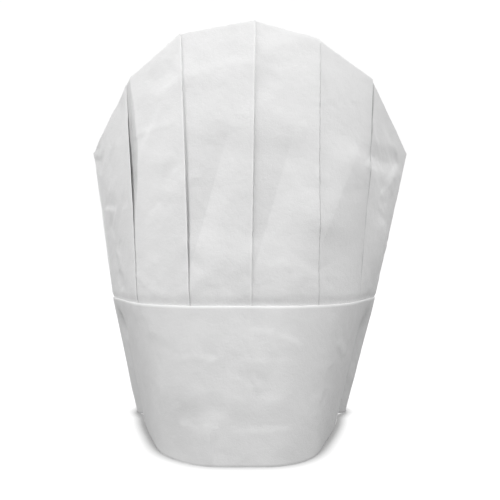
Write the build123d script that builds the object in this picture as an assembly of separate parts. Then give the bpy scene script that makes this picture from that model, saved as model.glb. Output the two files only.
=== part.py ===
from build123d import *
from math import atan2, cos, hypot, sin, tan
import os

# Pleated paper chef toque. Millimetres, +Z up, front towards -Y, X across the forehead.
# Depths are counted from the two side creases, where the flat-packed hat is folded, and the
# last step moves the finished hat over the middle of its footprint.
# The paper walls are thicker than real paper, so that they stay solid bodies.

# Paper and glue
CROWN_PAPER = 0.8
BAND_PAPER = 0.8
TAIL_PAPER = 0.8
PATCH_PAPER = 0.6
GLUE = 0.2
SWEATBAND_PLY = 1.2
LAP = 0.05  # air left between two glued sheets, so that their facets never cut each other

# Headband, an upright strip that widens upwards. Each quarter of its outline runs from a side
# crease to the middle: a straight side, a rounded corner, a straight middle.
BAND_HEIGHT = 89.0
LOWER_HALF_WIDTH = 80.0
LOWER_FRONT_DEPTH = 109.0
LOWER_FRONT_CORNER = 41.0
LOWER_FRONT_RADIUS = 36.0
LOWER_BACK_DEPTH = 92.0
LOWER_BACK_CORNER = 62.0
LOWER_BACK_RADIUS = 20.0
UPPER_HALF_WIDTH = 100.8
UPPER_FRONT_DEPTH = 88.0
UPPER_FRONT_CORNER = 60.0
UPPER_FRONT_RADIUS = 65.0
UPPER_BACK_DEPTH = 75.7
UPPER_BACK_CORNER = 75.0
UPPER_BACK_RADIUS = 25.0

# Crown, one pleated sheet: walls up to the rim, then folded over and gathered at the top.
# A pleat line stands at each value, from a side crease (first) to the middle (last).
CROWN_TUCK = 15.0
BAND_PLEATS = (0.0, 0.405, 0.726, 1.0)  # share of a quarter of the headband's outline
RIM_PLEATS = (1.0, 0.68, 0.373, 0.0)  # share of the rim's half-width
RIM_HALF_WIDTH = 120.7
RIM_HALF_DEPTH = 72.0
RIM_SIDE_HEIGHT = 198.0
RIM_RISE = 73.0  # from the rim at the side creases to the rim at the middle
RIM_ARCH = 0.88  # exponent of the rise; 0.5 is an ellipse, 1 a parabola
GATHER_RISE = 13.0  # from the middle of the rim to the gather
GATHER_SHARE = 0.955  # share of the way to the gather at which the gores end

# Glue, patch and lining
PATCH_RADIUS = 18.0
BAND_GLUE_HEIGHT = 6.0
BAND_GLUE_DROP = 5.0  # from the headband's upper edge to the glue line
SEAM_GLUE_SHARE = 1 / 6  # half-width of the back seam's glue line, as a share of a panel
SWEATBAND_START = 10.0
SWEATBAND_WIDTH = 34.0
SWEATBAND_REACH = 4  # columns left free between each side crease and the sweatband's end

# Size adjuster at the back: the strip's outer end, its adhesive and the release liner
TAIL_WIDTH = 60.0
TAIL_MARGIN = 3.0  # from the headband's lower and upper edges
TAIL_CORNER = 6.0
ADHESIVE_WIDTH = 15.0
ADHESIVE_INSET = 8.0  # from the tail's free end
ADHESIVE_PLY = 0.3
ADHESIVE_MARGIN = 7.0
LINER_PLY = 0.3
LINER_BORDER = 2.0  # liner beyond the adhesive on its three hidden sides
LINER_GRIP = 9.0  # liner beyond the tail's free end, to pull it by
LINER_CORNER = 3.0
RUNNING_GAP = 0.3

# Facets
COLUMNS = 6  # in each panel
WALL_ROWS = 3
QUARTER_PANELS = len(BAND_PLEATS) - 1
QUARTER_STEPS = QUARTER_PANELS * COLUMNS
PANELS = 4 * QUARTER_PANELS
BACK_MIDDLE = 3 * QUARTER_STEPS


def blend(values, place):
    """Value at a place counted in panels, straight between the pleat lines."""
    index = min(int(place), len(values) - 2)
    share = place - index
    return values[index] * (1 - share) + values[index + 1] * share


def quarter(half_width, depth, corner, radius, height):
    """Outline from a side crease to the middle, as a function of the place in panels."""
    side = hypot(half_width - corner, depth)
    turn = atan2(depth, half_width - corner)
    trim = radius * tan(turn / 2)
    straight_side = side - trim
    arc = radius * turn
    total = straight_side + arc + corner - trim
    slope_x = (half_width - corner) / side
    slope_y = depth / side

    def point(place):
        travelled = total * blend(BAND_PLEATS, place)
        if travelled <= straight_side:
            return half_width - slope_x * travelled, slope_y * travelled, height
        if travelled <= straight_side + arc:
            left = turn - (travelled - straight_side) / radius
            return corner - trim + radius * sin(left), depth - radius * (1 - cos(left)), height
        return total - travelled, depth, height

    return point


def rim_corner(share):
    """A pleat line's top, on an oval in plan and an arch from the front."""
    level = 1 - share * share
    return Vector(
        RIM_HALF_WIDTH * share,
        RIM_HALF_DEPTH * level**0.5,
        RIM_SIDE_HEIGHT + RIM_RISE * level**RIM_ARCH,
    )


RIM_CORNERS = [rim_corner(share) for share in RIM_PLEATS]


def rim(place):
    """The rim runs straight from one pleat line to the next."""
    point = blend(RIM_CORNERS, place)
    return point.X, point.Y, point.Z


def around(front, back):
    """Closed ring of points from the left crease over the front, right crease and back."""
    ring = []
    for side, facing, outline in ((-1, -1, front), (1, -1, front), (1, 1, back), (-1, 1, back)):
        steps = range(QUARTER_STEPS)
        if side != facing:
            steps = range(QUARTER_STEPS, 0, -1)
        for step in steps:
            width, depth, height = outline(step / COLUMNS)
            ring.append(Vector(side * width, facing * depth, height))
    return ring


def inset(ring, distance):
    """The ring moved inwards, level, with mitred corners."""
    moved = []
    for index, here in enumerate(ring):
        before = here - ring[index - 1]
        after = ring[(index + 1) % len(ring)] - here
        before = Vector(before.X, before.Y).normalized()
        after = Vector(after.X, after.Y).normalized()
        along = (before + after).normalized()
        inwards = Vector(-along.Y, along.X)
        mitre = along.dot(after)
        moved.append(here + inwards * (distance / mitre))
    return moved


def between(ring_a, ring_b, share):
    return [a * (1 - share) + b * share for a, b in zip(ring_a, ring_b)]


LOWER_RING = around(
    quarter(LOWER_HALF_WIDTH, LOWER_FRONT_DEPTH, LOWER_FRONT_CORNER, LOWER_FRONT_RADIUS, 0),
    quarter(LOWER_HALF_WIDTH, LOWER_BACK_DEPTH, LOWER_BACK_CORNER, LOWER_BACK_RADIUS, 0),
)
UPPER_RING = around(
    quarter(
        UPPER_HALF_WIDTH, UPPER_FRONT_DEPTH, UPPER_FRONT_CORNER, UPPER_FRONT_RADIUS, BAND_HEIGHT
    ),
    quarter(UPPER_HALF_WIDTH, UPPER_BACK_DEPTH, UPPER_BACK_CORNER, UPPER_BACK_RADIUS, BAND_HEIGHT),
)
RIM_RING = around(rim, rim)
GATHER = Vector(0, 0, RIM_SIDE_HEIGHT + RIM_RISE + GATHER_RISE)


GLUE_TOP = BAND_HEIGHT - BAND_GLUE_DROP
GLUE_BOTTOM = GLUE_TOP - BAND_GLUE_HEIGHT
TUCK_BOTTOM = BAND_HEIGHT - CROWN_TUCK
SWEATBAND_END = SWEATBAND_START + SWEATBAND_WIDTH
# Every sheet at the headband is creased at the same heights, so that their facets lie parallel.
CREASE_HEIGHTS = sorted(
    {0, SWEATBAND_START, SWEATBAND_END, TUCK_BOTTOM, GLUE_BOTTOM, GLUE_TOP, BAND_HEIGHT}
)


def band_rings(low, high, depth):
    """Rings inside the headband's outer face, at a depth into the paper, between two heights."""
    lower = inset(LOWER_RING, depth)
    upper = inset(UPPER_RING, depth)
    heights = [height for height in CREASE_HEIGHTS if low <= height <= high]
    return [between(lower, upper, height / BAND_HEIGHT) for height in heights]


def wall_ring(share, depth):
    """Ring inside the crown's outer face, a share of the way from headband to rim."""
    foot = inset(UPPER_RING, BAND_PAPER + GLUE + 2 * LAP + depth)
    return between(foot, inset(RIM_RING, depth), share)


def lowered(ring, drop):
    return [point - Vector(0, 0, drop) for point in ring]


def top_ring(shares, rise):
    """Ring on the gathered top, a share of the way from the rim to the gather."""
    points = []
    for point, share in zip(RIM_RING, shares):
        points.append(point * (1 - share) + GATHER * share + Vector(0, 0, rise))
    return points


def columns(rows, first, last):
    """The part of some rings from one column to another, past the start where needed."""
    return [[row[column % len(row)] for column in range(first, last + 1)] for row in rows]


def sheet(outer, inner):
    """Solid sheet of flat facets between two matching grids of points."""
    triangles = []

    def facet(a, b, c, d):
        for corners in ((a, b, c), (a, c, d)):
            flat = (corners[1] - corners[0]).cross(corners[2] - corners[0]).length < 1e-9
            if not flat:
                triangles.append(Face(Wire.make_polygon(corners)))

    last_row = len(outer) - 1
    last_column = len(outer[0]) - 1
    for row in range(last_row):
        for column in range(last_column):
            for grid in (outer, inner):
                facet(
                    grid[row][column],
                    grid[row][column + 1],
                    grid[row + 1][column + 1],
                    grid[row + 1][column],
                )
    for row in (0, last_row):
        for column in range(last_column):
            facet(
                outer[row][column],
                outer[row][column + 1],
                inner[row][column + 1],
                inner[row][column],
            )
    closed = (outer[0][0] - outer[0][-1]).length < 1e-9
    for column in () if closed else (0, last_column):
        for row in range(last_row):
            facet(
                outer[row][column],
                outer[row + 1][column],
                inner[row + 1][column],
                inner[row][column],
            )
    return Solid(Shell(triangles))


def headband():
    outer = band_rings(0, BAND_HEIGHT, 0)
    inner = band_rings(0, BAND_HEIGHT, BAND_PAPER)
    turn = len(LOWER_RING)
    return sheet(columns(outer, 0, turn), columns(inner, 0, turn))


def crown_rows(depth):
    """Rings of the crown's wall from its hidden lower edge to just below the rim."""
    rows = band_rings(TUCK_BOTTOM, BAND_HEIGHT, BAND_PAPER + GLUE + 2 * LAP + depth)
    for row in range(1, WALL_ROWS):
        rows.append(wall_ring(row / WALL_ROWS, depth))
    return rows


INNER_RIM_RING = lowered(inset(RIM_RING, CROWN_PAPER), CROWN_PAPER)


def crown_panel(number):
    first = number * COLUMNS
    outer = columns(crown_rows(0) + [RIM_RING], first, first + COLUMNS)
    inner = columns(crown_rows(CROWN_PAPER) + [INNER_RIM_RING], first, first + COLUMNS)
    return sheet(outer, inner)


def top_gore(number):
    first = number * COLUMNS
    ends = [GATHER_SHARE] * len(RIM_RING)
    outer = columns([RIM_RING, top_ring(ends, 0)], first, first + COLUMNS)
    inner = columns([INNER_RIM_RING, top_ring(ends, -CROWN_PAPER)], first, first + COLUMNS)
    return sheet(outer, inner)


def top_disc(radius, low, high):
    """Round piece on the gathered top between two rises over the paper's outer face."""
    shares = [1 - radius / hypot(point.X, point.Y) for point in RIM_RING]
    whole = [1.0] * len(RIM_RING)
    turn = len(RIM_RING)
    outer = columns([top_ring(shares, high), top_ring(whole, high)], 0, turn)
    inner = columns([top_ring(shares, low), top_ring(whole, low)], 0, turn)
    return sheet(outer, inner)


def top_patch():
    return top_disc(PATCH_RADIUS, LAP, LAP + PATCH_PAPER)


def gather_glue():
    hole = RIM_HALF_DEPTH * (1 - GATHER_SHARE)
    return top_disc(hole - 2 * LAP, -CROWN_PAPER, 0)


def band_glue():
    """Glue line that holds the crown's tucked edge inside the headband."""
    near = BAND_PAPER + LAP
    outer = band_rings(GLUE_BOTTOM, GLUE_TOP, near)
    inner = band_rings(GLUE_BOTTOM, GLUE_TOP, near + GLUE)
    turn = len(LOWER_RING)
    return sheet(columns(outer, 0, turn), columns(inner, 0, turn))


def seam_glue():
    """Glue line inside the back, where the sheet's two ends meet under a pleat."""
    reach = round(SEAM_GLUE_SHARE * COLUMNS)
    near = CROWN_PAPER + LAP
    rows = [row / WALL_ROWS for row in range(WALL_ROWS)]
    outer = [wall_ring(share, near) for share in rows]
    inner = [wall_ring(share, near + GLUE) for share in rows]
    span = (BACK_MIDDLE - reach, BACK_MIDDLE + reach)
    return sheet(columns(outer, *span), columns(inner, *span))


def sweatband():
    """Soft strip inside the forehead."""
    near = BAND_PAPER + LAP
    outer = band_rings(SWEATBAND_START, SWEATBAND_END, near)
    inner = band_rings(SWEATBAND_START, SWEATBAND_END, near + SWEATBAND_PLY)
    span = (SWEATBAND_REACH, 2 * QUARTER_STEPS - SWEATBAND_REACH)
    return sheet(columns(outer, *span), columns(inner, *span))


# The back of the headband is one flat leaning face, and the adjuster slides along it.
BACK_LEAN = LOWER_BACK_DEPTH - UPPER_BACK_DEPTH
BACK_SLOPE = hypot(BAND_HEIGHT, BACK_LEAN)
BACK_FACE = Plane(
    origin=(0, LOWER_BACK_DEPTH, 0),
    x_dir=(1, 0, 0),
    z_dir=(0, BAND_HEIGHT, BACK_LEAN),
)
LINER_LEVEL = RUNNING_GAP
ADHESIVE_LEVEL = LINER_LEVEL + LINER_PLY + RUNNING_GAP
TAIL_LEVEL = ADHESIVE_LEVEL + ADHESIVE_PLY
TAIL_END = TAIL_WIDTH / 2
ADHESIVE_END = TAIL_END - ADHESIVE_INSET
ADHESIVE_START = ADHESIVE_END - ADHESIVE_WIDTH


def slip(start, end, margin, corner, level, ply):
    """Flat slip of paper over the headband's back, from one x to another."""
    # The face's own y axis points down the slope, so that its z axis faces outwards.
    middle = ((start + end) / 2, -BACK_SLOPE / 2)
    outline = Pos(*middle) * RectangleRounded(end - start, BACK_SLOPE - 2 * margin, corner)
    return extrude(BACK_FACE.offset(level) * outline, amount=ply)


def adjuster_tail():
    return slip(-TAIL_END, TAIL_END, TAIL_MARGIN, TAIL_CORNER, TAIL_LEVEL, TAIL_PAPER)


def tail_adhesive():
    corner = ADHESIVE_WIDTH / 10
    margin = TAIL_MARGIN + ADHESIVE_MARGIN
    return slip(ADHESIVE_START, ADHESIVE_END, margin, corner, ADHESIVE_LEVEL, ADHESIVE_PLY)


def release_liner():
    start = ADHESIVE_START - LINER_BORDER
    end = TAIL_END + LINER_GRIP
    margin = TAIL_MARGIN + ADHESIVE_MARGIN - LINER_BORDER
    return slip(start, end, margin, LINER_CORNER, LINER_LEVEL, LINER_PLY)


parts = {
    "headband": headband(),
    "band_glue_line": band_glue(),
    "crown_seam_glue": seam_glue(),
    "top_patch": top_patch(),
    "gather_glue": gather_glue(),
    "sweatband": sweatband(),
    "adjuster_tail": adjuster_tail(),
    "tail_adhesive": tail_adhesive(),
    "release_liner": release_liner(),
}
for number in range(PANELS):
    parts[f"crown_panel_{number + 1:02d}"] = crown_panel(number)
    parts[f"top_gore_{number + 1:02d}"] = top_gore(number)

# The origin is the middle of the hat's footprint, on the surface that it stands on.
boxes = [part.bounding_box() for part in parts.values()]
middle_y = (min(box.min.Y for box in boxes) + max(box.max.Y for box in boxes)) / 2
os.makedirs("parts", exist_ok=True)
for name, part in parts.items():
    export_step(Pos(0, -middle_y, 0) * part, f"parts/{name}.step")
print("nodes", len(parts), "side creases at y", round(-middle_y, 3))
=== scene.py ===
from math import atan2, cos, hypot, pi, radians, sin, tan

import bmesh
import bpy
import numpy as np
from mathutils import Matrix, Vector


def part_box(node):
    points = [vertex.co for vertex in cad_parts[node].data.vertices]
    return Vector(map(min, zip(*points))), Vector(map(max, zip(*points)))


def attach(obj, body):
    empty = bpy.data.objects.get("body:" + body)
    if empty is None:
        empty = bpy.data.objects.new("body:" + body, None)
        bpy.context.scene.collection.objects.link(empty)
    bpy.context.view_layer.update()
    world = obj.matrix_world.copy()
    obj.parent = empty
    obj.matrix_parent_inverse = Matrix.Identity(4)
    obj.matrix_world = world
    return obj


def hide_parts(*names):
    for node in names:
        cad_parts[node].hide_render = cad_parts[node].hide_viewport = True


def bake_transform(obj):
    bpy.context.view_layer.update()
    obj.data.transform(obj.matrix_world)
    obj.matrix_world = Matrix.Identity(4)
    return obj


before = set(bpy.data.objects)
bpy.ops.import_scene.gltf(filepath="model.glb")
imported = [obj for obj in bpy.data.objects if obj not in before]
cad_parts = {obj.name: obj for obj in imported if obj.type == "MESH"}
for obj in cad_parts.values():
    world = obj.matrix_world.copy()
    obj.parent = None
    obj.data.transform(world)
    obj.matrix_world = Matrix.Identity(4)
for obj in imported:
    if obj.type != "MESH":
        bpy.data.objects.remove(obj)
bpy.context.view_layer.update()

# Pleated paper chef toque. Sizes are in millimetres and become metres when a mesh is made.
# +X is right, -Y the front, +Z up. Heights start at the lower edge.
MM = 0.001


def size_of(node):
    """Lowest and highest corner of a CAD node, in millimetres."""
    low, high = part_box(node)
    return np.array(low) / MM, np.array(high) / MM


# ---------------------------------------------------------------- sizes from the frame
BAND_LOW, BAND_HIGH = size_of("headband")
PANEL_LOW, PANEL_HIGH = size_of("crown_panel_06")
LOWER_HALF_WIDTH = 80.0
LOWER_FRONT_DEPTH = 109.0
CREASE_Y = BAND_LOW[1] + LOWER_FRONT_DEPTH  # the side creases' plane
UPPER_HALF_WIDTH = BAND_HIGH[0]
BAND_HEIGHT = BAND_HIGH[2]
RIM_HALF_WIDTH = PANEL_HIGH[0]
TUCK_BOTTOM = PANEL_LOW[2]
GATHER = np.array([0.0, 0.0, size_of("gather_glue")[1][2]])

# Outline of the headband: half-width, depth, corner and corner radius of each quarter.
LOWER_FRONT = (LOWER_HALF_WIDTH, LOWER_FRONT_DEPTH, 41.0, 36.0)
LOWER_BACK = (LOWER_HALF_WIDTH, BAND_HIGH[1] - CREASE_Y, 62.0, 20.0)
UPPER_FRONT = (UPPER_HALF_WIDTH, 88.0, 60.0, 65.0)
UPPER_BACK = (UPPER_HALF_WIDTH, 75.7, 75.0, 25.0)
HALF_GIRTH = 300.0
GIRTH = 2 * HALF_GIRTH
BAND_DIP = 1.5  # the headband's upper edge is this much lower at the side creases
BAND_SWELL = 0.6  # and this much higher in the middle of the front

# The worn, hand-set shape leans a little to the right.
LEAN_AT_BAND = 2.1
LEAN_AT_RIM = 6.7

# Pleat lines of the front, from left to right: where they meet the headband's upper edge, and
# the points of the rim that they run to. The back's lie symmetrically.
FRONT_PLEATS = (-69.6, -33.0, 5.0, 47.0, 80.0)
FRONT_RIM = (
    (-RIM_HALF_WIDTH, 198.6),
    (-81.0, 240.0),
    (-45.3, 264.5),
    (3.2, 271.0),
    (45.3, 260.5),
    (83.0, 239.0),
    (RIM_HALF_WIDTH, 197.4),
)
BACK_PLEATS = (81.2, 41.1, 0.0, -41.1, -81.2)
BACK_RIM = ((82.0, 240.0), (45.0, 262.0), (-1.0, 271.0), (-45.0, 262.5), (-82.0, 239.5))
RIM_DEPTH = 72.0
PANELS = 12
CREASES = (0, 6)  # the panel borders that are flat-packing creases and not pleats

# Pleats and paper
GAPING = 1  # the first pleat of the front stands open
LAST_FOLD = 5  # the last pleat of the front
SEAM = 9  # the pleat in the middle of the back hides the ends of the crown's sheet
UNDERLAY = 14.0
PLEAT_STEP = 0.65  # from one panel's fold down to the next panel
PLEAT_SWELL = 0.7  # more of it halfway up
PLEAT_NOSE = 0.35  # how far the paper's bend stands out past the fold line
CROWN_THICKNESS = 0.22
BAND_THICKNESS = 0.3
CROWN_DEPTH = 0.75  # of the tucked crown under the headband's face
HEM = 13.0  # width of the headband's upper edge that is folded inwards
HEM_DEPTH = 0.65
# Lengths of the crown's sheet in the headband, up the wall and over the top, and all of it cut flat.
TUCK_LENGTH, WALL_LENGTH, TOP_LENGTH, CUT_LENGTH = 15.0, 170.0, 74.0, 273.0

# Shades painted into the paper: 1 is as dark as single paper, and more is darker.
TABLE_SHADE = 5.0  # along the headband's lower edge
LINE_SHADE = 7.0  # in a thin line beside the last front fold
LINE_WIDTH = 2.9
GAP_SHADE, GAP_DEEP_SHADE = 3.0, 4.0  # at the far edge of the gaping pleat, and more inside


# ---------------------------------------------------------------- small maths
def smooth(value):
    value = np.clip(value, 0.0, 1.0)
    return value * value * (3 - 2 * value)


def bump(value, low, peak, high):
    """0 outside low to high, 1 at the peak, smooth between."""
    rise = smooth((value - low) / (peak - low))
    fall = smooth((high - value) / (high - peak))
    return np.where(value < peak, rise, fall)


def unit(vectors):
    length = np.linalg.norm(vectors, axis=-1, keepdims=True)
    return vectors / np.maximum(length, 1e-9)


# ---------------------------------------------------------------- outlines
def quarter(section, share):
    """Width and depth of a quarter outline at a share of its length from the side crease."""
    half_width, depth, corner, radius = section
    side = hypot(half_width - corner, depth)
    turn = atan2(depth, half_width - corner)
    trim = radius * tan(turn / 2)
    straight = side - trim
    arc = radius * turn
    total = straight + arc + corner - trim
    travelled = share * total
    left = turn - np.clip((travelled - straight) / radius, 0, turn)
    on_side = travelled <= straight
    on_arc = travelled <= straight + arc
    run = np.minimum(travelled, straight)
    width = np.where(
        on_side,
        half_width - (half_width - corner) / side * run,
        np.where(on_arc, corner - trim + radius * np.sin(left), total - travelled),
    )
    reach = np.where(
        on_side,
        depth / side * run,
        np.where(on_arc, depth - radius * (1 - np.cos(left)), depth),
    )
    return width, reach


def outline(front, back, ring):
    """Points round the hat. ring is 0 at the left crease, 1 at the right one, 2 back at the left."""
    ring = np.mod(ring, 2.0)
    half = np.mod(ring, 1.0)
    share = 1 - np.abs(2 * half - 1)
    front_width, front_depth = quarter(front, share)
    back_width, back_depth = quarter(back, share)
    at_front = ring < 1
    side = np.where(half < 0.5, -1.0, 1.0) * np.where(at_front, 1.0, -1.0)
    x = side * np.where(at_front, front_width, back_width)
    y = np.where(at_front, -front_depth, back_depth)
    return x, y


def band_point(ring, level):
    """A point of the headband's outer face; level is 0 at its lower edge and 1 at its upper."""
    low_x, low_y = outline(LOWER_FRONT, LOWER_BACK, ring)
    high_x, high_y = outline(UPPER_FRONT, UPPER_BACK, ring)
    x = low_x * (1 - level) + high_x * level + LEAN_AT_BAND * level
    y = low_y * (1 - level) + high_y * level + CREASE_Y
    top = BAND_HEIGHT - BAND_DIP + (BAND_DIP + BAND_SWELL) * np.abs(np.sin(pi * ring))
    return np.stack([x, y, top * level], axis=-1)


def ring_at(x, start):
    """Where round the hat the headband's upper edge has that x, on the half that starts there."""
    low, high = start, start + 1.0
    for _ in range(40):
        middle = (low + high) / 2
        here = float(outline(UPPER_FRONT, UPPER_BACK, np.array(middle))[0])
        if (here < x) == (start < 1):
            low = middle
        else:
            high = middle
    return low


def rim_point(x, z, facing):
    level = max(0.0, 1 - (x / RIM_HALF_WIDTH) ** 2)
    return np.array([x + LEAN_AT_RIM, facing * RIM_DEPTH * level**0.5 + CREASE_Y, z])


FOOT_RINGS = np.array(
    [0.0]
    + [ring_at(x, 0.0) for x in FRONT_PLEATS]
    + [1.0]
    + [ring_at(x, 1.0) for x in BACK_PLEATS]
    + [2.0]
)
RIM_POINTS = np.array(
    [rim_point(x, z, -1) for x, z in FRONT_RIM]
    + [rim_point(x, z, 1) for x, z in BACK_RIM]
    + [rim_point(*FRONT_RIM[0], -1)]
)
TOP = GATHER + np.array([LEAN_AT_RIM, CREASE_Y, 0.0])


def across(values, place):
    """Value at a place counted in panels round the hat, straight between pleat lines."""
    place = np.mod(place, PANELS)
    index = np.minimum(place.astype(int), PANELS - 1)
    share = place - index
    if values.ndim == 2:
        share = share[..., None]
    return values[index] * (1 - share) + values[index + 1] * share


def crown_base(place, height):
    """The crown's smooth surface. height is -1 to 0 in the headband, 0 to 1 up the wall and
    1 to 2 from the rim to the gather."""
    ring = across(FOOT_RINGS, place)
    foot = band_point(ring, np.ones_like(ring))
    tucked = TUCK_BOTTOM / BAND_HEIGHT
    low = band_point(ring, 1 + (1 - tucked) * np.clip(height, -1, 0))
    rim = across(RIM_POINTS, place)
    wall = np.clip(height, 0, 1)[..., None]
    top = np.clip(height - 1, 0, 1)[..., None]
    up = foot * (1 - wall) + rim * wall
    over = rim * (1 - top) + TOP * top
    return np.where(height[..., None] < 0, low, np.where(height[..., None] < 1, up, over))


def outward(surface, place, height):
    """Outward directions of a surface, softened over the pleat lines."""
    step_place, step_height = 0.12, 0.02
    around = surface(place + step_place, height) - surface(place - step_place, height)
    ahead = np.minimum(height + step_height, 1.96)
    upwards = surface(place, ahead) - surface(place, ahead - 2 * step_height)
    return unit(np.cross(around, upwards))


# ---------------------------------------------------------------- creases in the paper
CREASE_FADE = 0.25  # share of a crease's length over which each end fades out


def crease(x, z, start, end, rise, left, right, soft=0.8):
    """Height that a straight crease adds: a ridge (or valley, where rise is negative) with a
    slope of its own width on each side, seen from the front with its start above its end."""
    start, end = np.array(start, float), np.array(end, float)
    length = np.linalg.norm(end - start)
    along = (end - start) / length
    run = ((x - start[0]) * along[0] + (z - start[1]) * along[1]) / length
    off = (x - start[0]) * along[1] - (z - start[1]) * along[0]
    width = np.where(off > 0, left, right)
    near = np.sqrt(off**2 + soft**2) - soft
    slope = np.clip(1 - near / width, 0, 1)
    slope = slope * slope * (3 - 2 * slope) * 0.35 + slope * 0.65
    ends = smooth(run / CREASE_FADE) * smooth((1 - run) / CREASE_FADE)
    return rise * slope * ends


def crumple(across_mm, up_mm, count, span, rise, length, width, seed):
    """Many small random creases over a sheet of a given span."""
    draw = np.random.default_rng(seed)
    total = np.zeros_like(across_mm)
    for _ in range(count):
        middle = draw.uniform((0, 0), span)
        angle = draw.uniform(0, pi)
        half = draw.uniform(*length) / 2
        step = np.array([cos(angle), sin(angle)]) * half
        tall = draw.uniform(*rise) * draw.choice((-1, 1))
        sides = draw.uniform(*width, size=2)
        distance = np.mod(across_mm - middle[0] + span[0] / 2, span[0]) - span[0] / 2
        total += crease(distance, up_mm - middle[1], -step, step, tall, *sides, soft=0.6)
    return total


# Creases and soft folds of the front, in x and z: start, end, rise, and width to the left and to
# the right of the way down. For a crease that runs to the right these are below and above it.
CROWN_CREASES = (
    ((-6.0, 206.0), (-28.0, 122.0), -1.6, 24.0, 34.0),
    ((36.0, 204.0), (9.0, 112.0), -1.6, 26.0, 34.0),
    ((80.0, 196.0), (50.0, 126.0), 1.8, 30.0, 24.0),
    ((-74.0, 197.0), (-60.0, 203.0), 0.22, 1.2, 4.0),
    ((-62.0, 202.5), (-38.0, 205.0), 0.22, 1.2, 4.0),
    ((-69.0, 108.0), (-59.0, 99.0), 0.3, 1.2, 5.0),
    ((-60.0, 99.5), (-46.0, 91.0), 0.3, 1.2, 5.0),
    ((-40.0, 243.0), (-62.0, 232.0), -0.5, 9.0, 7.0),
    ((-106.0, 158.0), (-88.0, 155.0), -0.8, 2.2, 10.0),
    ((-95.0, 152.0), (-88.0, 98.0), -1.0, 5.0, 6.0),
    ((-92.0, 126.0), (-84.0, 104.0), 0.6, 1.4, 4.0),
    ((-90.0, 110.0), (-84.0, 94.0), -0.7, 4.0, 5.0),
    ((-84.0, 233.0), (-85.0, 196.0), -0.6, 4.0, 4.0),
    ((-114.0, 196.0), (-104.0, 194.0), 0.5, 2.0, 5.0),
    ((-111.0, 206.0), (-106.0, 180.0), -0.5, 5.0, 4.0),
    ((82.0, 187.0), (123.0, 188.0), -1.15, 8.0, 11.0),
    ((120.0, 190.0), (101.0, 170.0), 0.45, 1.2, 6.0),
    ((117.0, 184.0), (98.0, 160.0), 0.5, 2.0, 7.0),
    ((93.0, 190.0), (84.0, 178.0), 0.5, 2.0, 6.0),
    ((102.0, 176.0), (97.0, 138.0), -0.5, 6.0, 8.0),
    ((112.0, 170.0), (105.0, 136.0), -0.4, 4.0, 5.0),
)
BAND_CREASES = (
    ((-23.0, 21.0), (-10.0, 20.5), 0.35, 9.0, 1.2),
    ((-17.0, 21.0), (-16.0, 0.0), 0.4, 10.0, 2.0),
    ((-38.0, 24.0), (-20.0, 21.0), -0.3, 1.6, 10.0),
    ((-8.0, 20.5), (34.0, 22.0), -0.25, 1.6, 10.0),
    ((-40.0, 59.0), (-8.0, 58.0), 0.14, 4.0, 1.2),
    ((-24.0, 62.0), (-12.0, 61.5), -0.28, 1.2, 8.0),
    ((-4.0, 58.0), (38.0, 57.0), 0.2, 10.0, 1.2),
    ((4.0, 78.0), (24.0, 76.0), -0.25, 1.6, 10.0),
    ((22.0, 76.0), (40.0, 68.0), -0.3, 1.6, 10.0),
    ((-2.0, 52.0), (12.0, 42.0), -0.2, 2.0, 8.0),
    ((62.0, 66.0), (70.0, 52.0), 0.35, 2.0, 4.0),
)
# Painted shade: single paper is made darker than paper backed by a pleat's underlay. The
# underlay's edge shows through three panels as a slanting line: pleat at the left, bottom and
# top of the edge, and the side of it that is darker.
PAINTED_SHADE_PATCHES = (
    (2, (-28.0, 122.0), (-6.0, 204.0), -1),
    (3, (9.0, 112.0), (36.0, 202.0), -1),
    (4, (50.0, 122.0), (80.0, 196.0), 1),
)


# ---------------------------------------------------------------- meshes
def grid_mesh(name, points, closed=False, **marks):
    """Mesh of a grid of points in millimetres: rows by columns by 3. marks are values of each
    point by name, such as how far a fold is whitened by a painted highlight or darkened by painted
    shade."""
    rows, columns = points.shape[:2]
    index = np.arange(rows * columns).reshape(rows, columns)
    if closed:
        index = np.concatenate([index, index[:, :1]], axis=1)
    faces = np.stack(
        [index[:-1, :-1], index[:-1, 1:], index[1:, 1:], index[1:, :-1]], axis=-1
    ).reshape(-1, 4)
    mesh = bpy.data.meshes.new(name)
    mesh.from_pydata((points.reshape(-1, 3) * MM).tolist(), [], faces.tolist())
    for title, values in marks.items():
        mark = mesh.attributes.new(title, "FLOAT", "POINT")
        mark.data.foreach_set("value", np.asarray(values, np.float32).ravel())
    mesh.validate()
    mesh.shade_smooth()
    piece = bpy.data.objects.new(name, mesh)
    bpy.context.scene.collection.objects.link(piece)
    return piece


SHARP_FOLD = radians(40.0)


def thicken(piece, thickness):
    """Gives a sheet its thickness, inwards, and keeps its folds crisp."""
    solid = piece.modifiers.new("thickness", "SOLIDIFY")
    solid.thickness = thickness * MM
    solid.offset = -1
    graph = bpy.context.evaluated_depsgraph_get()
    mesh = bpy.data.meshes.new_from_object(piece.evaluated_get(graph))
    piece.modifiers.clear()
    piece.data = mesh
    mesh.set_sharp_from_angle(angle=SHARP_FOLD)


def finished(piece, look, body, replaced):
    """Gives a piece its material, its body and the CAD nodes that it stands for."""
    piece.data.materials.clear()
    piece.data.materials.append(look)
    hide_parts(*replaced)
    if body:
        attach(piece, body)


# ---------------------------------------------------------------- headband
BACK_FLAT = (1.30, 1.40, 1.62, 1.74)  # the ring stretch under the adjuster, pressed flat


def pressed(ring):
    """1 on the flat stretch of the back, 0 elsewhere."""
    start, full, last, end = BACK_FLAT
    return smooth((ring - start) / (full - start)) * smooth((end - ring) / (end - last))


EARS = ((0.0, 3.4), (1.0, 4.6), (2.0, 3.4))  # places on the ring, and how deep


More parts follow.
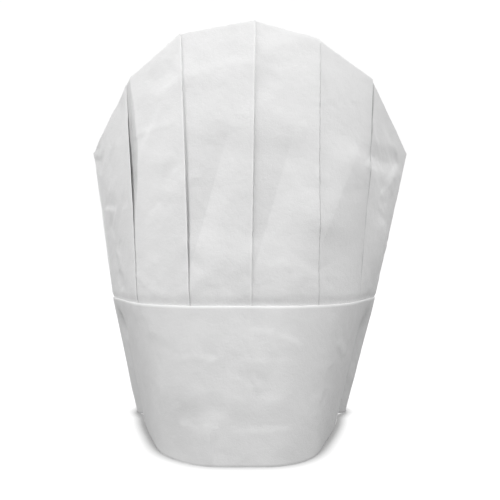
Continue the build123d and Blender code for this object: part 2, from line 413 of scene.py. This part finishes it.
def ears(ring, level):
    """Beside each side crease the paper is pulled in, so that the crease stands out like an ear."""
    pull = np.zeros_like(ring)
    for middle, deep in EARS:
        off = np.abs(ring - middle) * HALF_GIRTH
        valley = bump(off, 0.0, 11.0, 62.0) * 0.5 + bump(off, 4.0, 12.0, 30.0) * 0.5
        pull += deep * valley
    return pull * smooth((1.0 - level) / 0.3)


def band_shape(ring, level):
    """Height of the headband's creases over its smooth surface."""
    point = band_point(ring, level)
    across_mm = ring * HALF_GIRTH
    up = level * BAND_HEIGHT
    span = (GIRTH, 90.0)
    shape = crumple(across_mm, up, 60, span, (0.08, 0.4), (12, 50), (4, 14), 17)
    shape += crumple(across_mm, up, 110, span, (0.04, 0.15), (4, 18), (1.2, 4), 18)
    folds = np.zeros_like(shape)
    for start, end, rise, left, right in BAND_CREASES:
        folds += crease(point[..., 0], point[..., 2], start, end, rise, left, right)
    dimple = 2.2 * bump(ring, 0.008, 0.032, 0.07) * bump(level, 0.62, 0.78, 0.95)
    hollow = 3.0 * bump(ring, 0.27, 0.37, 0.47) * smooth(1 - level / 0.5)
    shape += np.where(ring < 1, folds, 0) - dimple - hollow
    return shape * (1 - 0.93 * pressed(ring)) - ears(ring, level)


def band_face(ring, level, height):
    """Points at a height over the headband's creased outer face."""
    step_ring, step_level = 0.006, 0.01
    around = band_point(ring + step_ring, level) - band_point(ring - step_ring, level)
    upwards = band_point(ring, level + step_level) - band_point(ring, level - step_level)
    away = unit(np.cross(around, upwards))
    shape = band_shape(ring, np.clip(level, 0.0, 1.0)) + height
    return band_point(ring, level) + away * shape[..., None]


def headband():
    """Strip round the head, with its upper edge folded inwards as a hem."""
    count, rows = 720, 60
    ring = np.linspace(0, 2, count + 1)[:-1]
    fold, fold_inset = [1.002, 1.003, 1.001], [0.08, 0.33, 0.58]
    hem = np.linspace(0.99, 1 - HEM / BAND_HEIGHT, 6)
    levels = np.concatenate([np.linspace(0, 1, rows), fold, hem])
    inset = np.concatenate([np.zeros(rows), fold_inset, np.full(len(hem), HEM_DEPTH)])
    place, level = np.meshgrid(ring, levels)
    points = band_face(place, level, -np.broadcast_to(inset[:, None], place.shape))
    # Painted highlight on the hem's fold.
    worn = np.where((level > 0.985) & (inset[:, None] < 0.4), 1.0, 0.0)
    # Painted shade along the lower edge, where the paper meets the table.
    painted_table_shade = np.where(level <= 0.0, TABLE_SHADE, 0.0)
    piece = grid_mesh("headband_strip", points, closed=True, worn=worn, thin=painted_table_shade)
    thicken(piece, BAND_THICKNESS)
    finished(piece, BAND_LOOK, "hat", ["headband"])


# ---------------------------------------------------------------- crown
FOLD_HIGHLIGHT = {0: 0.0, 4: 0.0, 5: 0.0, 6: 0.0}  # folds that get less painted highlight than the others
SURFACE, UNDER, START = 0, 1, 2  # a panel's face, the layer under its fold, the next one's start


def panel_width(panel):
    """Width of a panel's foot, in millimetres."""
    foot = crown_base(np.array([panel, panel + 0.999]), np.array([0.0, 0.0]))
    return float(np.linalg.norm(foot[1] - foot[0]))


def panels_past(place, pleat):
    """How far right of a pleat a place lies, in panels, the short way round."""
    return np.mod(place - pleat + PANELS / 2, PANELS) - PANELS / 2


def pleat_step(height):
    return PLEAT_STEP + PLEAT_SWELL * bump(height, 0.0, 0.5, 1.15)


def face_shares(panel):
    """Where the columns of a panel's face stand, closer together at its edges."""
    fine = 46 if panel < 6 else 24
    edges = np.array([0.008, 0.018, 0.03, 0.97, 0.982, 0.992])
    return np.unique(np.concatenate([np.linspace(0, 1, fine + 1), edges]))


def pleat_columns():
    """Columns of the crown sheet from one end to the other: place in panels, depth as a share of the
    step between two panels, more depth in millimetres, panel, layer and painted highlight."""
    columns = []
    for panel in range(SEAM, SEAM + PANELS):
        border = panel % PANELS
        width = panel_width(border)
        if border not in CREASES:
            under = UNDERLAY / panel_width((border - 1) % PANELS)
            for share in (1.0, 0.75, 0.5, 0.36, 0.28, 0.2, 0.12, 0.05):
                depth = (1 - share + under * share, 0.6 * share)
                columns.append((panel - under * share, *depth, border, START, 0.0))
        after = (panel + 1) % PANELS
        for share in face_shares(border):
            if share < 1 or after not in CREASES:
                # Painted highlight close to the fold at the panel's right edge.
                near = max(0.0, 1 - (1 - share) * width / 0.8)
                worn = near * FOLD_HIGHLIGHT.get(after, 1.0)
                columns.append((panel + share, 1 - share, 0.0, border, SURFACE, worn))
        if after not in CREASES:
            nose = PLEAT_NOSE / width
            under = UNDERLAY / width
            # Painted highlight on the fold's bend.
            worn = 0.7 * FOLD_HIGHLIGHT.get(after, 1.0)
            columns.append((panel + 1 + nose, 0.0, 0.25, border, UNDER, worn))
            for share in (0.02, 0.3, 0.6, 0.95):
                columns.append((panel + 1 - under * share, under * share, 0.5, border, UNDER, 0.0))
            if panel + 1 < SEAM + PANELS:
                columns.append((panel + 1 - under - nose, under, 0.55, border, UNDER, 0.0))
    return np.array(columns).T


def edge_shift(pleat, height):
    """How far left of its line a pleat's fold edge lies, in millimetres."""
    if pleat == GAPING:
        heights, shifts = (0.0, 0.14, 0.45, 0.67, 0.93, 1.0), (0.0, 0.9, 2.3, 4.4, 6.6, 6.2)
        return np.interp(height, heights, shifts)
    if pleat == LAST_FOLD:
        return -2.8 * bump(height, 0.05, 0.62, 1.02)
    return np.zeros_like(height)


def gap_bend(height):
    """How far right of its line the gaping pleat's gap ends, in millimetres."""
    heights, bends = (0.30, 0.415, 0.52, 0.647, 0.853, 1.0), (-0.6, 1.2, 3.8, 5.4, 2.6, -0.6)
    return np.interp(height, heights, bends)


def opened(pleat, height, off):
    """Extra depth of the panel right of a pleat, at a distance off from the pleat line."""
    up = np.clip(height, 0, 1)
    if pleat == GAPING:
        # It comes out of the gap in a slanting strip, and bends over a soft crease.
        edge = -edge_shift(pleat, up)
        bend = gap_bend(up)
        proud = 0.6 * bump(up, 0.28, 0.64, 1.3)
        deepest = 1.0 * bump(up, 0.25, 0.62, 0.95) - 0.2
        width = np.maximum(bend - edge, 0.5)
        fall = np.clip((bend - off) / width, 0, 1.4)
        strip = -proud + (deepest + proud) * fall
        beyond = -proud * np.clip(1 - (off - bend) / 16.0, 0, 1)
        return np.where(off < bend, strip, beyond)
    groove, reach = 0.45 * bump(up, -0.02, 0.5, 1.02), 1.1
    if pleat == GAPING + 1:
        groove, reach = groove + 1.1 * bump(up, -0.05, 0.25, 0.62), 1.5
    elif pleat in (LAST_FOLD - 1, LAST_FOLD):
        deepest = 2.2 if pleat == LAST_FOLD else 1.5
        groove, reach = deepest * bump(up, -0.6, 0.5, 1.3), 1.5
        off = off + edge_shift(pleat, up)
    return groove * np.clip(1 - np.maximum(off, 0) / reach, 0, 1)


def crown_height_mm(height):
    """Rough length along the crown's sheet from the headband's upper edge."""
    wall = np.where(height < 1, WALL_LENGTH * height, WALL_LENGTH + TOP_LENGTH * (height - 1))
    return np.where(height < 0, TUCK_LENGTH * height, wall)


def puckers(place, height):
    """The top is drawn together in radial puckers."""
    towards = np.clip(height - 1, 0, 1)
    turn = 2 * pi * place / PANELS
    waves = np.sin(18 * turn + 1.3 * np.sin(4 * turn)) + 0.5 * np.sin(28 * turn)
    return 0.9 * waves * bump(towards, 0.05, 0.78, 1.0)


def crown_shape(place, height):
    """Height of the crown's creases over its smooth surface, by place on the sheet."""
    base = crown_base(place, height)
    ring = across(FOOT_RINGS, place)
    up = crown_height_mm(height)
    around = ring * HALF_GIRTH
    span = (GIRTH, 245.0)
    sheet = crumple(around, up, 150, span, (0.08, 0.45), (14, 60), (4, 16), 7)
    sheet += crumple(around, up, 300, span, (0.04, 0.18), (5, 22), (1.2, 5), 8)
    folds = np.zeros_like(sheet)
    for start, end, rise, left, right in CROWN_CREASES:
        folds += crease(base[..., 0], base[..., 2], start, end, rise, left, right)
    on_front = (ring < 1) & (height > 0) & (height <= 1)
    sheet += np.where(on_front, folds, 0)
    # The outer panels of the front belly out before they turn back to the side creases.
    share = np.mod(place, PANELS)
    sheet += 3.6 * bump(share, 5.0, 5.66, 6.0) * bump(height, -0.1, 0.35, 1.1)
    sheet += 1.4 * bump(share, 0.0, 0.35, 1.0) * bump(height, 0.0, 0.6, 1.15)
    sheet += puckers(place, height)
    tucked = TUCK_BOTTOM / BAND_HEIGHT
    level = 1 + (1 - tucked) * np.clip(height, -1, 0)
    free = smooth(height / 0.07)
    return sheet * free + band_shape(ring, level) * (1 - free)


def thin_paper(place, height):
    """Painted shade: 1 where the panel is a single layer beside the edge of an underlay, 0 elsewhere."""
    base = crown_base(place, height)
    x, z = base[..., 0], base[..., 2]
    dark = np.zeros_like(x)
    for pleat, bottom, top, side in PAINTED_SHADE_PATCHES:
        edge = bottom[0] + (top[0] - bottom[0]) * (z - bottom[1]) / (top[1] - bottom[1])
        beside = smooth(side * (x - edge) / 0.9 + 0.5)
        inside = (place >= pleat) & (place <= pleat + 1)
        fade = bump(z, bottom[1] - 45.0, bottom[1] + 25.0, top[1] + 6.0) ** 0.5
        dark += np.where(inside, beside * fade, 0)
    return dark


def fold_shade(place, height, panel, layer):
    """Shade of a thin line beside the last front fold, and of the strip in the gaping pleat."""
    shown = layer != UNDER
    off = panels_past(place, LAST_FOLD) * panel_width(LAST_FOLD)
    beside = smooth((LINE_WIDTH - edge_shift(LAST_FOLD, height) - off) / 0.6 + 0.5)
    beside = beside * (panel == LAST_FOLD) * shown
    line = LINE_SHADE * beside * (height > 0) * smooth((1.05 - height) / 0.1)
    left_of_bend = gap_bend(height) - panels_past(place, GAPING) * panel_width(GAPING)
    in_gap = smooth(left_of_bend / 0.8 + 0.5) * (panel == GAPING) * shown
    strip = (GAP_SHADE + GAP_DEEP_SHADE * np.clip(left_of_bend / 10.0, 0, 1)) * in_gap
    return line + strip * bump(height, 0.3, 0.62, 1.25) ** 0.5


def crown_sheet():
    """The whole pleated crown, from its tucked edge over the rim to the gather, as one sheet."""
    place_of, step_share, deeper, panel, layer, worn = pleat_columns()
    tuck = np.linspace(-1, -0.1, 5)
    wall = np.linspace(0, 1, 96)
    top = 1 + np.linspace(0, 0.965, 34)[1:] ** 0.9
    heights = np.concatenate([tuck, wall, top])
    place, height = np.meshgrid(place_of, heights)
    depth = pleat_step(height) * step_share + deeper
    shifted = place.copy()
    for pleat in range(PANELS):
        if pleat in CREASES:
            continue
        off = panels_past(place, pleat)
        # The panel after the pleat starts deep and comes up at the gap's far edge.
        after = (panel == pleat) & (layer != UNDER)
        depth += np.where(after, opened(pleat, height, off * panel_width(pleat)), 0)
        # The panel before it ends in the fold, which may lie a little further left.
        before = (panel == (pleat - 1) % PANELS) & (layer != START)
        near = np.clip(1 + off, 0, 1) ** 3
        shift = edge_shift(pleat, height) / panel_width((pleat - 1) % PANELS)
        shifted -= np.where(before, shift * near, 0)
    tucked_in = smooth(1 - height / 0.04)
    depth += CROWN_DEPTH * np.where(height < 0, 1.0, tucked_in)
    points = crown_base(shifted, height)
    away = outward(crown_base, shifted, height)
    points = points + away * (crown_shape(shifted, height) - depth)[..., None]
    # Painted highlight along the folds and round the rim.
    rim = np.clip(1 - np.abs(height - 1) / 0.012, 0, 1)
    highlit = np.maximum(worn * (height > 0), 0.8 * rim)
    # Painted shade: single paper beside underlays, a line beside the last front fold and the strip in
    # the gaping pleat.
    thin = thin_paper(np.mod(place, PANELS), height) + fold_shade(place, height, panel, layer)
    piece = grid_mesh("crown_sheet", points, worn=highlit, thin=thin)
    thicken(piece, CROWN_THICKNESS)
    nodes = [f"crown_panel_{n:02d}" for n in range(1, PANELS + 1)]
    nodes += [f"top_gore_{n:02d}" for n in range(1, PANELS + 1)]
    finished(piece, CROWN_LOOK, "hat", nodes)


# ---------------------------------------------------------------- glue, patch and lining
def band_glue_line():
    """Thin glue between the headband's hem and the crown's tucked edge."""
    low, high = size_of("band_glue_line")
    levels = np.linspace(low[2], high[2], 5) / BAND_HEIGHT
    ring, level = np.meshgrid(np.linspace(0, 2, 361)[:-1], levels)
    points = band_face(ring, level, -(HEM_DEPTH + 0.02) + 0 * ring)
    piece = grid_mesh("glue_ring", points, closed=True)
    thicken(piece, 0.06)
    finished(piece, GLUE_LOOK, "hat", ["band_glue_line"])


def crown_seam_glue():
    """Glue between the two ends of the crown's sheet, under the pleat in the middle of the back."""
    under = UNDERLAY / panel_width(SEAM - 1)
    place, height = np.meshgrid(
        SEAM - under * np.linspace(0.4, 0.9, 6), np.linspace(0.04, 0.62, 30)
    )
    wavy = 0.006 * np.sin(height * 90.0)
    depth = pleat_step(height) * (SEAM - place) + 0.56
    away = outward(crown_base, place, height)
    points = crown_base(place + wavy, height)
    points = points + away * (crown_shape(place, height) - depth)[..., None]
    piece = grid_mesh("seam_glue_line", points)
    thicken(piece, 0.05)
    finished(piece, GLUE_LOOK, "hat", ["crown_seam_glue"])


def gather_glue():
    """Bead of glue in the hole where the gores meet."""
    place, height = np.meshgrid(np.linspace(0, PANELS, 73)[:-1], np.linspace(1.955, 1.999, 7))
    dome = 0.5 * np.sqrt(np.clip((height - 1.95) / 0.05, 0, 1))
    points = crown_base(place, height) + np.array([0, 0, 1.0]) * (dome - 0.7)[..., None]
    piece = grid_mesh("gather_glue_bead", points, closed=True)
    thicken(piece, 0.4)
    finished(piece, GLUE_LOOK, "hat", ["gather_glue"])


PATCH_THICKNESS = 0.3


def top_patch():
    """Round patch that lies over the puckers and shows them."""
    low, high = size_of("top_patch")
    radius = (high[0] - low[0]) / 2
    place_of = np.linspace(0, PANELS, 193)[:-1]
    rim = across(RIM_POINTS, place_of) - TOP
    spread = np.hypot(rim[:, 0], rim[:, 1])
    share = np.concatenate([np.linspace(0.02, 0.98, 22), [1.0]])
    place, out = np.meshgrid(place_of, share * radius)
    height = 2 - out / spread
    waves = puckers(place, height)
    lift = np.maximum(waves + 0.2, 0.55 * waves + 0.45) + 0.32
    edge = 0.25 * smooth((out / radius - 0.85) / 0.15)
    points = crown_base(place, height)
    points[..., 2] += lift + edge
    # Painted highlight round the patch's edge.
    worn = np.where(out > 0.985 * radius, 0.8, 0.0)
    piece = grid_mesh("top_patch_disc", points, closed=True, worn=worn)
    fill_middle(piece, place.shape[1])
    thicken(piece, PATCH_THICKNESS)
    finished(piece, CROWN_LOOK, "hat", ["top_patch"])


def fill_middle(piece, count):
    """Closes the small hole that a ring of points leaves in the middle."""
    form = bmesh.new()
    form.from_mesh(piece.data)
    form.verts.ensure_lookup_table()
    ring = form.verts[:count]
    centre = form.verts.new(sum((v.co for v in ring), Vector()) / count)
    for index in range(count):
        form.faces.new((ring[(index + 1) % count], ring[index], centre))
    bmesh.ops.recalc_face_normals(form, faces=form.faces)
    if sum(face.normal.z for face in form.faces) < 0:
        bmesh.ops.reverse_faces(form, faces=form.faces)
    form.to_mesh(piece.data)
    form.free()
    piece.data.shade_smooth()


SWEATBAND_RINGS = (0.115, 0.885)
SWEATBAND_PLY = 0.9
DOT_PITCH = 3.2  # of the tissue's embossed dots


def sweatband():
    """Embossed tissue strip glued inside the forehead."""
    low, high = size_of("sweatband")
    start, end = SWEATBAND_RINGS
    levels = np.linspace(low[2], high[2], 46) / BAND_HEIGHT
    ring, level = np.meshgrid(np.linspace(start, end, 420), levels)
    around = (ring - start) * HALF_GIRTH
    up = level * BAND_HEIGHT
    dots = np.sin(around * 2 * pi / DOT_PITCH) * np.sin(up * 2 * pi / DOT_PITCH)
    ends = smooth(np.minimum(ring - start, end - ring) / 0.012)
    sides = smooth(np.minimum(up - low[2], high[2] - up) / 2.0)
    ply = SWEATBAND_PLY * (0.35 + 0.65 * ends * sides)
    depth = BAND_THICKNESS + 0.12 + ply + 0.12 * dots * ends * sides
    inner = band_face(ring, level, -depth)[:, ::-1]
    piece = grid_mesh("sweatband_strip", inner)
    thicken(piece, 0.22)
    finished(piece, TISSUE_LOOK, "hat", ["sweatband"])


# ---------------------------------------------------------------- size adjuster at the back
MIDDLE_OF_BACK = 1.5
TAIL_LOW, TAIL_HIGH = size_of("adjuster_tail")
LINER_LOW, LINER_HIGH = size_of("release_liner")
GLUE_LOW, GLUE_HIGH = size_of("tail_adhesive")
BACK_RISE = float(np.hypot(BAND_HEIGHT, LOWER_BACK[1] - UPPER_BACK[1]))


def back_ring(x):
    """Where round the hat the flat of the back has that x."""
    return MIDDLE_OF_BACK - np.asarray(x) / HALF_GIRTH


def slip_columns(right, left, corner, gap, rounded, straight):
    """Columns of a slip from its right end to its left, closer together in its round corners."""
    in_corner = right - corner * (1 - np.cos(np.linspace(0, pi / 2, rounded)))
    return np.concatenate([in_corner, np.linspace(right - corner - gap, left, straight)])


def slip(name, x_of, low, high, corner, lift, thickness):
    """Slip of paper over the back. x_of are its columns from its right end to its left, low and
    high its edges' levels, corner the radius of its right corners, lift its height by column."""
    into = np.clip(corner - (x_of[0] - x_of), 0, corner)
    cut = (corner - np.sqrt(corner**2 - into**2)) / BACK_RISE
    share = np.linspace(0, 1, 34)[:, None]
    level = (low + cut) * (1 - share) + (high - cut) * share
    ring = np.broadcast_to(back_ring(x_of), level.shape)
    points = band_face(ring, level, np.broadcast_to(lift, level.shape))
    edge = np.minimum(share, 1 - share) < 0.02
    # Painted highlight along the slip's edges and its right end.
    worn = np.where(edge | (np.arange(len(x_of)) < 1), 0.6, 0.0)
    piece = grid_mesh(name, points, worn=worn)
    thicken(piece, thickness)
    return piece


TAIL_ROOT = -64.0  # where the outer end of the strip leaves the headband's face
TAIL_SUNK = 0.32  # under that face at its root
TAIL_LEVEL = 1.75  # over that face at its free end
TAIL_CORNER = 6.0


def adjuster_tail():
    """Outer end of the headband's strip, lapped over its inner end."""
    right = TAIL_HIGH[0]
    x_of = slip_columns(right, TAIL_ROOT, TAIL_CORNER, 1.0, 10, 70)
    away = smooth((x_of - TAIL_ROOT) / 26.0)
    margin = (TAIL_LOW[2] / BAND_HEIGHT) * smooth((x_of - TAIL_ROOT) / 30.0)
    lift = -TAIL_SUNK + (TAIL_LEVEL + TAIL_SUNK) * away
    name = "adjuster_tail_strip"
    piece = slip(name, x_of, margin, 1 - margin, TAIL_CORNER, lift, BAND_THICKNESS)
    finished(piece, BAND_LOOK, None, ["adjuster_tail"])
    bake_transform(piece)


def tail_adhesive():
    """Pressure-sensitive glue on the tail's inner face."""
    x_of = np.linspace(GLUE_HIGH[0], GLUE_LOW[0], 16)
    low, high = GLUE_LOW[2] / BAND_HEIGHT, GLUE_HIGH[2] / BAND_HEIGHT
    lift = TAIL_LEVEL - BAND_THICKNESS - 0.03
    piece = slip("adhesive_pad", x_of, low, high, 1.5, lift, 0.2)
    finished(piece, ADHESIVE_LOOK, "tail", ["tail_adhesive"])


LINER_CORNER = 3.0


def release_liner():
    """Waxed slip over the adhesive, with a grip that curls out past the tail's end."""
    right = LINER_HIGH[0]
    x_of = slip_columns(right, LINER_LOW[0], LINER_CORNER, 0.5, 8, 40)
    low, high = LINER_LOW[2] / BAND_HEIGHT, LINER_HIGH[2] / BAND_HEIGHT
    past = np.clip((x_of - TAIL_HIGH[0] - 1.0) / (right - TAIL_HIGH[0]), 0, 1)
    lift = 0.95 + 2.4 * past**2
    piece = slip("release_liner_slip", x_of, low, high, LINER_CORNER, lift, 0.14)
    finished(piece, LINER_LOOK, "liner", ["release_liner"])


# ---------------------------------------------------------------- materials
def nodes_of(name):
    material = bpy.data.materials.new(name)
    material.use_nodes = True
    tree = material.node_tree
    shader = tree.nodes["Principled BSDF"]
    return material, tree, shader


def noise(tree, coordinates, scale, detail, rough):
    node = tree.nodes.new("ShaderNodeTexNoise")
    node.inputs["Scale"].default_value = scale
    node.inputs["Detail"].default_value = detail
    node.inputs["Roughness"].default_value = rough
    tree.links.new(coordinates, node.inputs["Vector"])
    return node.outputs["Fac"]


def ramp(tree, value, low, high, start, end):
    """The value's stretch from start to end, as low to high."""
    node = tree.nodes.new("ShaderNodeMapRange")
    node.inputs["From Min"].default_value = start
    node.inputs["From Max"].default_value = end
    node.inputs["To Min"].default_value = low
    node.inputs["To Max"].default_value = high
    tree.links.new(value, node.inputs["Value"])
    return node.outputs["Result"]


def grey(value):
    return (value, value, value, 1)


def mixed(tree, share, first, second, clamped=True):
    """Colour between two colours, greys or sockets."""
    node = tree.nodes.new("ShaderNodeMix")
    node.clamp_factor = clamped
    node.data_type = "RGBA"
    tree.links.new(share, node.inputs["Factor"])
    for side, value in (("A", first), ("B", second)):
        socket = next(s for s in node.inputs if s.name == side and s.type == "RGBA")
        if isinstance(value, bpy.types.NodeSocket):
            tree.links.new(value, socket)
        else:
            socket.default_value = grey(value) if isinstance(value, float) else (*value, 1)
    return next(s for s in node.outputs if s.type == "RGBA")


def bumped(tree, value, strength, distance, under=None):
    node = tree.nodes.new("ShaderNodeBump")
    node.inputs["Strength"].default_value = strength
    node.inputs["Distance"].default_value = distance
    tree.links.new(value, node.inputs["Height"])
    if under is not None:
        tree.links.new(under, node.inputs["Normal"])
    return node.outputs["Normal"]


def mark(tree, name):
    """A value that the mesh gives each of its points, 0 where it gives none."""
    node = tree.nodes.new("ShaderNodeAttribute")
    node.attribute_name = name
    return node.outputs["Fac"]


SHADE_DARKER = 0.965  # painted shade of single paper, against a look's dark tone
PAPER_ROUGHNESS = (0.62, 0.78)


def paper(name, light, dark, worn, grain):
    """White paper: cloudy fibres in colour, gloss and surface, folds whitened by a painted highlight,
    and painted shade from the mesh's marks.
    """
    material, tree, shader = nodes_of(name)
    where = tree.nodes.new("ShaderNodeTexCoord").outputs["Object"]
    cloud = noise(tree, where, 45.0, 5.0, 0.62)
    fibre = noise(tree, where, 1300.0, 3.0, 0.75)
    colour = mixed(tree, ramp(tree, cloud, 0.0, 1.0, 0.3, 0.7), dark, light)
    speckle = mixed(tree, ramp(tree, fibre, 0.0, 0.5, 0.35, 0.7), colour, dark)
    # Painted shade from the mesh's mark: single paper, fold lines, the gaping pleat's strip and the
    # headband's lower edge.
    shaded_tone = mixed(tree, mark(tree, "thin"), speckle, dark * SHADE_DARKER, clamped=False)
    # Painted highlight whitens the folds.
    tree.links.new(mixed(tree, mark(tree, "worn"), shaded_tone, worn), shader.inputs["Base Color"])
    tree.links.new(ramp(tree, fibre, *PAPER_ROUGHNESS, 0.3, 0.7), shader.inputs["Roughness"])
    crinkle = noise(tree, where, 120.0, 5.0, 0.6)
    normal = bumped(tree, crinkle, grain, 0.0009)
    normal = bumped(tree, fibre, grain, 0.00025, normal)
    tree.links.new(normal, shader.inputs["Normal"])
    shader.inputs["Specular IOR Level"].default_value = 0.25
    return material


def tissue(name):
    """Soft embossed tissue."""
    material, tree, shader = nodes_of(name)
    where = tree.nodes.new("ShaderNodeTexCoord").outputs["Object"]
    fluff = noise(tree, where, 1100.0, 6.0, 0.75)
    patches = noise(tree, where, 70.0, 3.0, 0.5)
    patchy = ramp(tree, patches, 0.0, 1.0, 0.35, 0.65)
    tone = mixed(tree, patchy, (0.84, 0.85, 0.86), (0.9, 0.9, 0.9))
    tone = mixed(tree, ramp(tree, fluff, 0.0, 0.6, 0.4, 0.75), tone, (0.78, 0.79, 0.8))
    tree.links.new(tone, shader.inputs["Base Color"])
    tree.links.new(ramp(tree, fluff, 0.85, 1.0, 0.3, 0.7), shader.inputs["Roughness"])
    tree.links.new(bumped(tree, fluff, 0.7, 0.0004), shader.inputs["Normal"])
    shader.inputs["Sheen Weight"].default_value = 0.3
    shader.inputs["Specular IOR Level"].default_value = 0.15
    return material


def film(name, light, dark, roughness, bumps, coat, transmission=0.0):
    """Smooth, slightly streaky layer: dried glue, tacky adhesive or waxed paper."""
    material, tree, shader = nodes_of(name)
    where = tree.nodes.new("ShaderNodeTexCoord").outputs["Object"]
    streaks = noise(tree, where, 160.0, 4.0, 0.6)
    fine = noise(tree, where, 900.0, 2.0, 0.5)
    tone = mixed(tree, ramp(tree, streaks, 0.0, 1.0, 0.35, 0.65), dark, light)
    tree.links.new(tone, shader.inputs["Base Color"])
    tree.links.new(ramp(tree, streaks, *roughness, 0.3, 0.7), shader.inputs["Roughness"])
    normal = bumped(tree, streaks, bumps, 0.0004)
    tree.links.new(bumped(tree, fine, bumps, 0.0001, normal), shader.inputs["Normal"])
    shader.inputs["Coat Weight"].default_value = coat
    shader.inputs["Coat Roughness"].default_value = 0.2
    shader.inputs["Transmission Weight"].default_value = transmission
    return material


# ---------------------------------------------------------------- build
CROWN_LOOK = paper("crown_paper", 0.91, 0.86, 0.97, 0.5)
# The headband's paper is a darker copy of the crown's paper, as painted shade.
BAND_LOOK = paper("band_paper", 0.85, 0.80, 0.99, 0.4)
GLUE_LOOK = film("dried_glue", (0.86, 0.82, 0.70), (0.78, 0.72, 0.58), (0.25, 0.4), 0.4, 0.3, 0.2)
ADHESIVE_LOOK = film("tacky_adhesive", (0.88, 0.85, 0.76), (0.8, 0.76, 0.64), (0.15, 0.3), 0.3, 0.5, 0.3)
LINER_LOOK = film("waxed_liner", (0.80, 0.83, 0.86), (0.74, 0.78, 0.82), (0.28, 0.4), 0.15, 0.4)
TISSUE_LOOK = tissue("tissue")

crown_sheet()
headband()
band_glue_line()
crown_seam_glue()
gather_glue()
top_patch()
sweatband()
adjuster_tail()
tail_adhesive()
release_liner()


# ---------------------------------------------------------------- stage, light and camera
SHADE_REACH = 0.012
# How the nearness of the object turns into the floor's glow.
CONTACT_SHADE = (("MULTIPLY_ADD", (-2.2, 2.1)), ("POWER", (1.6,)), ("MULTIPLY_ADD", (-0.7, 1.0)))


def stage_look():
    """White floor that glows, with a thin soft shade where the object stands."""
    material, tree, shader = nodes_of("stage_white")
    shader.inputs["Base Color"].default_value = grey(0.05)
    shader.inputs["Roughness"].default_value = 0.9
    shader.inputs["Emission Color"].default_value = grey(1.0)
    near = tree.nodes.new("ShaderNodeAmbientOcclusion")
    near.inputs["Distance"].default_value = SHADE_REACH
    near.samples = 16
    shade = near.outputs["AO"]
    for operation, numbers in CONTACT_SHADE:
        step = tree.nodes.new("ShaderNodeMath")
        step.operation = operation
        step.use_clamp = True
        tree.links.new(shade, step.inputs[0])
        for index, number in enumerate(numbers, start=1):
            step.inputs[index].default_value = number
        shade = step.outputs[0]
    tree.links.new(shade, shader.inputs["Emission Strength"])
    return material


def bowl():
    """Round floor that curves up into a backdrop all round. Its profile is in metres."""
    reach, radius, tall, count, bends = 2.6, 0.8, 3.0, 72, 12
    profile = [(0.001, 0.0), (0.15, 0.0), (0.4, 0.0), (1.0, 0.0), (reach - radius, 0.0)]
    for step in range(1, bends + 1):
        angle = pi / 2 * step / bends
        profile.append((reach - radius + radius * sin(angle), radius * (1 - cos(angle))))
    profile.append((reach, tall))
    profile = np.array(profile)[:, None, :] / MM
    turn = np.linspace(0, 2 * pi, count, endpoint=False)
    rows = np.stack(
        [
            profile[..., 0] * np.cos(turn),
            profile[..., 0] * np.sin(turn),
            np.broadcast_to(profile[..., 1], (len(profile), count)),
        ],
        axis=-1,
    )
    piece = grid_mesh("backdrop", rows, closed=True)
    piece.data.materials.append(stage_look())
    piece.visible_diffuse = False
    piece.visible_shadow = False


bowl()

world = bpy.data.worlds.new("studio")
world.use_nodes = True
sky = world.node_tree.nodes["Background"]
sky.inputs["Color"].default_value = grey(1.0)
sky.inputs["Strength"].default_value = 0.12
bpy.context.scene.world = world

LAMP_AIM = Vector((0, 0, 0.15))


def area_light(name, place, size, power):
    light = bpy.data.lights.new(name, "AREA")
    light.shape = "DISK"
    light.size = size
    light.energy = power
    lamp = bpy.data.objects.new(name, light)
    lamp.location = place
    lamp.visible_camera = False
    lamp.rotation_euler = (LAMP_AIM - Vector(place)).to_track_quat("-Z", "Y").to_euler()
    bpy.context.scene.collection.objects.link(lamp)


area_light("key", (0.02, -0.60, 0.76), 0.4, 3.7)
area_light("left", (-1.25, -0.50, 0.75), 0.8, 11.0)
area_light("right", (1.25, -0.46, 0.85), 0.8, 9.6)
area_light("back", (0.3, 1.4, 0.9), 1.2, 9.0)

EYE_DISTANCE = 423.0  # from the side creases
EYE_HEIGHT = 124.0
LENS = 39.6
camera_data = bpy.data.cameras.new("camera")
camera_data.lens = LENS
camera_data.sensor_width = 36.0
camera = bpy.data.objects.new("camera", camera_data)
camera.location = (LEAN_AT_RIM * MM, (CREASE_Y - EYE_DISTANCE) * MM, EYE_HEIGHT * MM)
camera.rotation_euler = (radians(90), 0, 0)
bpy.context.scene.collection.objects.link(camera)
bpy.context.scene.camera = camera
bpy.context.scene.view_settings.view_transform = "Standard"
